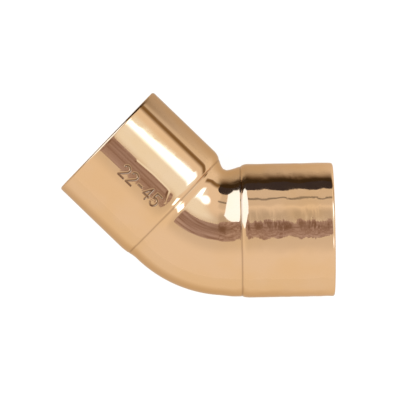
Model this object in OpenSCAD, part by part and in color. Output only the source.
// 45 degree copper pipe elbow with two plain sockets for soldered tube.
//
// The real elbow is one seamless piece of copper tube, bent and then expanded
// at both ends. It is drawn here as five sections that meet face to face:
// the bend, and on each leg a shoulder, which is the tube stop, and a socket.
//
// Millimetres. The elbow lies flat, with its bend in the XY plane. The origin
// is on the run socket's axis, at the tube stop, and +X points out of that
// socket's mouth. The branch leg leaves towards -X and +Y.

/* [Tube] */
// Outside diameter of the copper tube that fits the sockets
tube_d = 22; // [20:0.5:28]
// Radial gap between the tube and the socket, which solder fills
solder_gap = 0.05; // [0.03:0.01:0.12]
// Wall thickness of the fitting
wall = 0.95; // [0.6:0.05:1.4]

/* [Sockets] */
// Depth of each socket, from the mouth to the tube stop
socket_depth = 15.6; // [10:0.1:24]
// Rounding of each mouth's outer edge
mouth_round = 0.45; // [0.2:0.05:0.45]
// Rounding of each mouth's inner edge
mouth_break = 0.1; // [0.05:0.01:0.1]

/* [Shoulders] */
// How much smaller the bend's radius is than the socket's
shoulder_step = 0.8; // [0.5:0.05:1.2]
// Length of each shoulder along its leg
shoulder_length = 3.2; // [2:0.1:5]

/* [Bend] */
// Angle that the bend turns through
bend_angle = 45; // [40:1:50]
// Radius of the bend's inside, at its throat
throat_radius = 1; // [0.6:0.1:4]
// How far the bend's ends sit outward of the socket axes
bend_shift = 0.35; // [0:0.05:0.4]

/* [Hidden] */
$fn = 96;

// The socket.
bore_r = tube_d / 2 + solder_gap;
socket_r = bore_r + wall;

// The bend's own tube, outside and inside.
neck_r = socket_r - shoulder_step;
passage_r = neck_r - wall;

// The bend turns about a point on the line halfway between the legs.
turn_radius = neck_r + throat_radius;

// How far that point is from the run socket's axis, and how far the bend's ends
// are from the crossing of the socket axes.
turn_y = turn_radius - bend_shift;
bend_reach = turn_y * tan(bend_angle / 2);

// The crossing of the socket axes, seen from the run socket's tube stop.
crossing_x = -(bend_reach + shoulder_length);

// A cutter runs this far past the faces that it opens.
past = 1;

// What is drawn on the run leg, mirrored onto the branch leg.
module on_branch_leg() {
    translate([crossing_x, 0, 0])
        mirror([cos(bend_angle / 2), -sin(bend_angle / 2), 0])
            translate([-crossing_x, 0, 0])
                children();
}

// Lays a shape that stands on Z along X. What points to its +X then points to +Y.
module along_run() {
    rotate([90, 0, 90])
        children();
}

// What a rounded edge leaves of its square corner: the corner is at the origin,
// and the metal lies towards -X and -Y.
module corner_waste(r) {
    difference() {
        translate([-r, -r])
            square(r + past);
        translate([-r, -r])
            circle(r);
        translate([-2 * r, -2 * r])
            square([r, 3 * r]);
        translate([-2 * r, -2 * r])
            square([3 * r, r]);
    }
}

// One socket: a plain tube with a rounded mouth, standing on its tube stop.
module socket_shell() {
    along_run()
        rotate_extrude(angle = 360)
            difference() {
                translate([bore_r, 0])
                    square([wall, socket_depth]);
                translate([socket_r, socket_depth])
                    corner_waste(mouth_round);
                translate([bore_r, socket_depth])
                    mirror([1, 0])
                        corner_waste(mouth_break);
            }
}

// A cone from the bend's radius to the socket's, inset by some of the wall. It
// runs past both ends, at the same slope, when it is a cutter.
module shoulder_cone(inset, over) {
    slope = shoulder_step / shoulder_length;
    translate([0, 0, -over])
        cylinder(
            h = shoulder_length + 2 * over,
            r1 = neck_r - inset - slope * over,
            r2 = socket_r - inset + slope * over
        );
}

// One shoulder: it widens from the bend to the socket, and leans back onto the
// socket's axis. The tube stops against its inner slope.
module shoulder_shell() {
    lean = bend_shift / shoulder_length;
    translate([-shoulder_length, 0, 0])
        along_run()
            multmatrix([
                [1, 0, lean, -bend_shift],
                [0, 1, 0, 0],
                [0, 0, 1, 0]
            ])
                difference() {
                    shoulder_cone(0, 0);
                    shoulder_cone(wall, past);
                }
}

module bend() {
    color("#b87333")
        translate([crossing_x + bend_reach, turn_y, 0])
            rotate_extrude(angle = bend_angle, start = 270 - bend_angle)
                translate([turn_radius, 0])
                    difference() {
                        circle(neck_r);
                        circle(passage_r);
                    }
}

module run_shoulder() {
    color("#c17f4a")
        shoulder_shell();
}

module branch_shoulder() {
    color("#c17f4a")
        on_branch_leg()
            shoulder_shell();
}

module run_socket() {
    color("#cb8d5c")
        socket_shell();
}

module branch_socket() {
    color("#cb8d5c")
        on_branch_leg()
            socket_shell();
}

bend();
run_shoulder();
branch_shoulder();
run_socket();
branch_socket();
